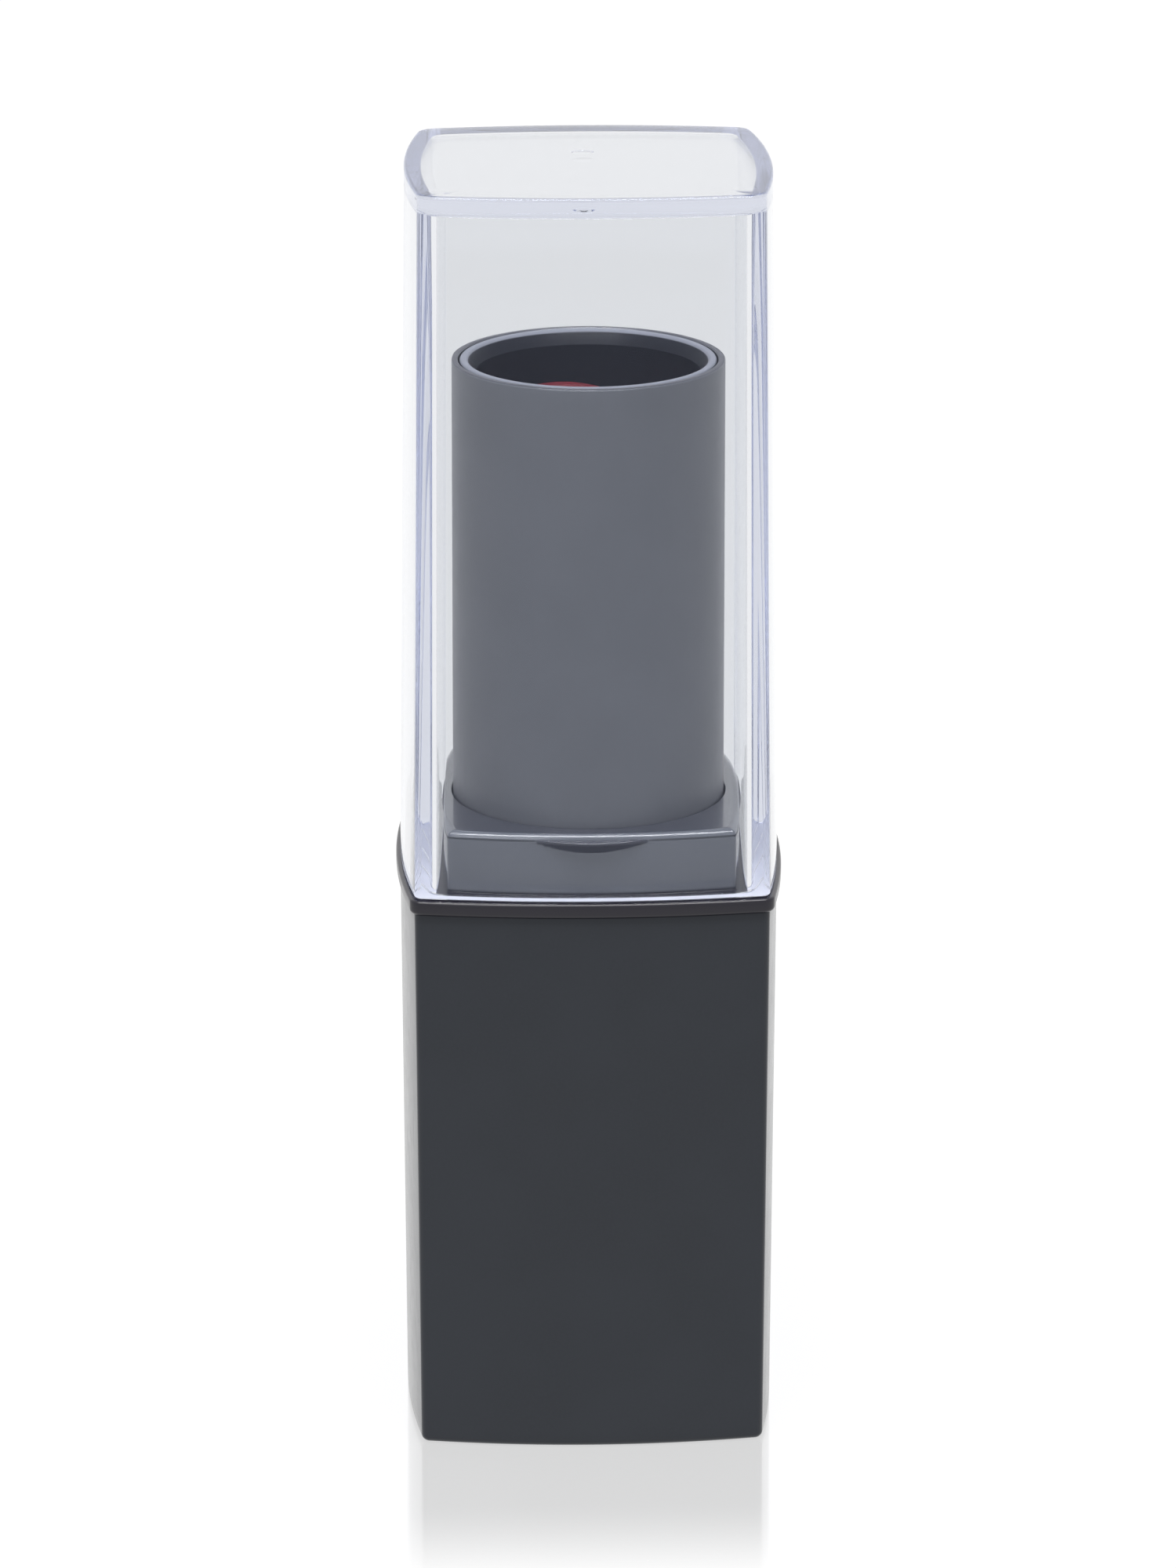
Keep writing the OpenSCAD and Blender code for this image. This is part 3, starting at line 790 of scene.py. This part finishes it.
def build_bullet(sizes, colours):
    """Lipstick with a domed tip that is cut on the slant, softened where the faces meet."""
    foot, top = foot_of("bullet"), top_of("bullet")
    radius = half_of("bullet")
    slope = math.tan(sizes.slant)
    front = Vector((math.sin(sizes.slant_turn), -math.cos(sizes.slant_turn)))
    apex = -front * sizes.tip_off
    soft = 0.25 * MM

    def height(x, y):
        """The lower of the dome and the slanted cut, blended over a short width."""
        off = Vector((x, y)) - apex
        dome = top - sizes.dome + math.sqrt(max(sizes.dome ** 2 - off.length_squared, 0.0))
        cut = top - off.dot(front) * slope
        gap = max(soft - abs(dome - cut), 0.0) / soft
        return min(dome, cut) - gap * gap * soft / 4

    def surface(share):
        ring = round_ring(radius * share, 0)
        return [Vector((p.x, p.y, height(p.x, p.y))) for p in ring]

    edge = 0.1 * MM
    rings = [round_ring(0.5 * radius, foot), round_ring(radius - edge, foot)]
    rings.append(round_ring(radius, foot + edge))
    shoulder = surface(1.0)
    for share in (0.3, 0.6, 0.9, 0.97):
        rings.append([Vector((p.x, p.y, foot + edge + (p.z - foot - edge) * share)) for p in shoulder])
    rings += [[Vector((p.x * s, p.y * s, p.z - d * MM)) for p in shoulder]
              for s, d in ((1.0, 0.12), (0.995, 0.03))]
    rings += [surface(s / 40) for s in range(39, 0, -1)]
    piece = lofted("lipstick_bullet", rings, first=Vector((0, 0, foot)), last=Vector((0, 0, height(0, 0))))
    worked(piece, grip_ribs(sizes, 0.02 * MM), "DIFFERENCE")
    finished(piece, "carrier", "bullet", lipstick_wax("lipstick wax", colours.bullet), sharp=50)


def finish_inner_parts(colours):
    """Materials for the CAD nodes whose shape is already right."""
    finishes = {
        "base_core": moulded_plastic("core plastic", colours.core, 0.5, 0.25 * MM, 0.006 * MM),
        "spiral_sleeve": moulded_plastic("sleeve plastic", colours.sleeve, 0.45, 0.2 * MM, 0.005 * MM),
        "brake_ring": moulded_plastic("silicone", colours.silicone, 0.6, 0.1 * MM, 0.004 * MM,
                                      specular=0.35),
        "shade_label": coated_paper("label paper", colours.paper),
    }
    for node, material in finishes.items():
        data = frame["nodes"][node].data
        data.materials.clear()
        data.materials.append(material)


# Stage

def floor_material(stage, half):
    """Pale floor that glows, less so in front, and faintly mirrors the case round its foot. Only the
    camera sees the mirror, so it throws no lamp light onto the case."""
    glow_share = 0.95
    back_glow, front_glow = 1.12, 0.85
    front_from, front_to = -190.0, -62.0
    mirror_gain = 2.35
    full_reach = 0.35 * stage.mirror_reach
    material = bpy.data.materials.new("pale floor")
    tree = Tree(material)
    across = abs(tree.axis("X")).larger(abs(tree.axis("Y")))
    near = 1 - across.step((half + full_reach) * IN_MM, (half + stage.mirror_reach) * IN_MM)
    speck = tree.noise(0.4 * MM, 3.0)
    tone = tree.mixed(speck, shaded(stage.floor, 0.99), shaded(stage.floor, 1.01))
    matt = tree.node("ShaderNodeBsdfDiffuse", inputs={"Color": tone})
    bright = tree.node("ShaderNodeEmission", inputs={"Color": tone, "Strength": back_glow})
    dim = tree.node("ShaderNodeEmission", inputs={"Color": tone, "Strength": front_glow})
    front = 1 - tree.axis("Y").step(front_from, front_to)
    glow = tree.node("ShaderNodeMixShader", inputs={0: front, 1: bright, 2: dim})
    plain = tree.node("ShaderNodeMixShader", inputs={0: glow_share, 1: matt, 2: glow})
    mirror = tree.node("ShaderNodeBsdfGlossy", inputs={"Color": (0.97, 0.97, 1.0, 1.0), "Roughness": 0.08})
    gloss = tree.node("ShaderNodeFresnel", inputs={"IOR": 1.6}) * mirror_gain
    seen = tree.node("ShaderNodeLightPath", output="Is Camera Ray")
    surface = tree.node("ShaderNodeMixShader", inputs={0: near * gloss * seen, 1: plain, 2: mirror})
    tree.node("ShaderNodeOutputMaterial", inputs={"Surface": surface})
    return material


def build_stage(stage):
    """Camera, floor, world light and soft lamps."""
    scene = bpy.context.scene
    scene.view_settings.view_transform = "Standard"
    scene.cycles.max_bounces = CAP_BOUNCES
    scene.cycles.glossy_bounces = CAP_BOUNCES
    scene.cycles.transmission_bounces = CAP_BOUNCES
    camera = bpy.data.cameras.new("camera")
    camera.sensor_width = 36.0
    camera.lens = stage.lens
    camera.clip_start = 0.01
    seen = bpy.data.objects.new("camera", camera)
    scene.collection.objects.link(seen)
    target = Vector((0, 0, stage.target))
    flat = math.cos(stage.elevation)
    back = Vector((-math.sin(stage.azimuth) * flat, -math.cos(stage.azimuth) * flat,
                   math.sin(stage.elevation)))
    seen.location = target + back * stage.distance
    seen.rotation_mode = "QUATERNION"
    seen.rotation_quaternion = (-back).to_track_quat("-Z", "Y")
    scene.camera = seen

    bm = bmesh.new()
    bmesh.ops.create_grid(bm, x_segments=8, y_segments=8, size=stage.floor_half)
    floor = mesh_object("studio_floor", bm)
    floor.data.materials.append(floor_material(stage, half_of("base_shell")))

    world = bpy.data.worlds.new("studio")
    scene.world = world
    tree = Tree(world)
    way = tree.node("ShaderNodeTexCoord", output="Generated")
    depth = tree.node("ShaderNodeSeparateXYZ", inputs={"Vector": way}, output="Y")
    glow = tree.mixed(depth.step(-0.6, 0.5), (0.90, 0.905, 0.92, 1), (1.0, 1.0, 1.0, 1))
    sky = tree.node("ShaderNodeBackground", inputs={"Color": glow, "Strength": 1.0})
    tree.node("ShaderNodeOutputWorld", inputs={"Surface": sky})

    soft_lamp("top strip light", Vector((0, -0.24, 0.8)), 0.7, 0.25, 16.0)
    soft_lamp("front softbox", Vector((-0.35, -0.9, 0.7)), 0.5, 0.5, 2.5)


def soft_lamp(name, place, wide, deep, radiance):
    """A soft lamp that faces the case, with its brightness given as radiance."""
    lamp = bpy.data.lights.new(name, "AREA")
    lamp.shape = "RECTANGLE"
    lamp.size, lamp.size_y = wide, deep
    lamp.energy = radiance * math.pi * wide * deep
    made = bpy.data.objects.new(name, lamp)
    made.location = place
    made.rotation_mode = "QUATERNION"
    made.rotation_quaternion = (Vector((0, 0, 0.04)) - place).to_track_quat("-Z", "Y")
    bpy.context.scene.collection.objects.link(made)


# Operators, panel and registration

class LIPSTICK_OT_stage(bpy.types.Operator):
    """Make the camera, the floor and the lights."""

    bl_idname = "lipstick.stage"
    bl_label = "Stage"

    def execute(self, context):
        build_stage(context.scene.lipstick_stage)
        return {"FINISHED"}


class LIPSTICK_OT_base(bpy.types.Operator):
    """Build the base housing and the collar with its plinth."""

    bl_idname = "lipstick.base"
    bl_label = "Base and collar"
    bl_options = {"REGISTER", "UNDO"}

    def execute(self, context):
        scene = context.scene
        build_housing(scene.lipstick_sizes, scene.lipstick_colours)
        build_collar(scene.lipstick_sizes, scene.lipstick_colours)
        return {"FINISHED"}


class LIPSTICK_OT_tubes(bpy.types.Operator):
    """Build the turning tube and the guide tube inside it."""

    bl_idname = "lipstick.tubes"
    bl_label = "Tubes"
    bl_options = {"REGISTER", "UNDO"}

    def execute(self, context):
        scene = context.scene
        build_tube(scene.lipstick_sizes, scene.lipstick_colours)
        build_guide(scene.lipstick_sizes, scene.lipstick_colours)
        return {"FINISHED"}


class LIPSTICK_OT_bullet(bpy.types.Operator):
    """Build the cup and the lipstick in it."""

    bl_idname = "lipstick.bullet"
    bl_label = "Cup and bullet"
    bl_options = {"REGISTER", "UNDO"}

    def execute(self, context):
        scene = context.scene
        build_cup(scene.lipstick_sizes, scene.lipstick_colours)
        build_bullet(scene.lipstick_sizes, scene.lipstick_colours)
        return {"FINISHED"}


class LIPSTICK_OT_cap(bpy.types.Operator):
    """Build the clear cap."""

    bl_idname = "lipstick.cap"
    bl_label = "Cap"
    bl_options = {"REGISTER", "UNDO"}

    def execute(self, context):
        scene = context.scene
        build_cap(scene.lipstick_sizes, scene.lipstick_colours)
        return {"FINISHED"}


class LIPSTICK_OT_inner(bpy.types.Operator):
    """Give the hidden parts of the mechanism their materials."""

    bl_idname = "lipstick.inner"
    bl_label = "Inner parts"
    bl_options = {"REGISTER", "UNDO"}

    def execute(self, context):
        finish_inner_parts(context.scene.lipstick_colours)
        return {"FINISHED"}


class LIPSTICK_PT_panel(bpy.types.Panel):
    """Lists the pieces of the lipstick case."""

    bl_label = "Lipstick Case"
    bl_space_type = "VIEW_3D"
    bl_region_type = "UI"
    bl_category = "Lipstick"

    def draw(self, context):
        """One button for each operator."""
        for operator in OPERATORS:
            self.layout.operator(operator.bl_idname)


OPERATORS = (LIPSTICK_OT_stage, LIPSTICK_OT_base, LIPSTICK_OT_tubes, LIPSTICK_OT_bullet,
             LIPSTICK_OT_cap, LIPSTICK_OT_inner)
CLASSES = (CaseSizes, CaseColours, StageSettings, *OPERATORS, LIPSTICK_PT_panel)


def register():
    """Registers the classes and hangs their properties on the scene."""
    for made in CLASSES:
        bpy.utils.register_class(made)
    bpy.types.Scene.lipstick_sizes = PointerProperty(type=CaseSizes)
    bpy.types.Scene.lipstick_colours = PointerProperty(type=CaseColours)
    bpy.types.Scene.lipstick_stage = PointerProperty(type=StageSettings)


def unregister():
    """Takes away what register added."""
    del bpy.types.Scene.lipstick_stage
    del bpy.types.Scene.lipstick_colours
    del bpy.types.Scene.lipstick_sizes
    for made in reversed(CLASSES):
        bpy.utils.unregister_class(made)


def main():
    """Builds everything."""
    register()
    bpy.ops.lipstick.stage()
    bpy.ops.lipstick.base()
    bpy.ops.lipstick.tubes()
    bpy.ops.lipstick.bullet()
    bpy.ops.lipstick.cap()
    bpy.ops.lipstick.inner()


if __name__ == "__main__":
    main()
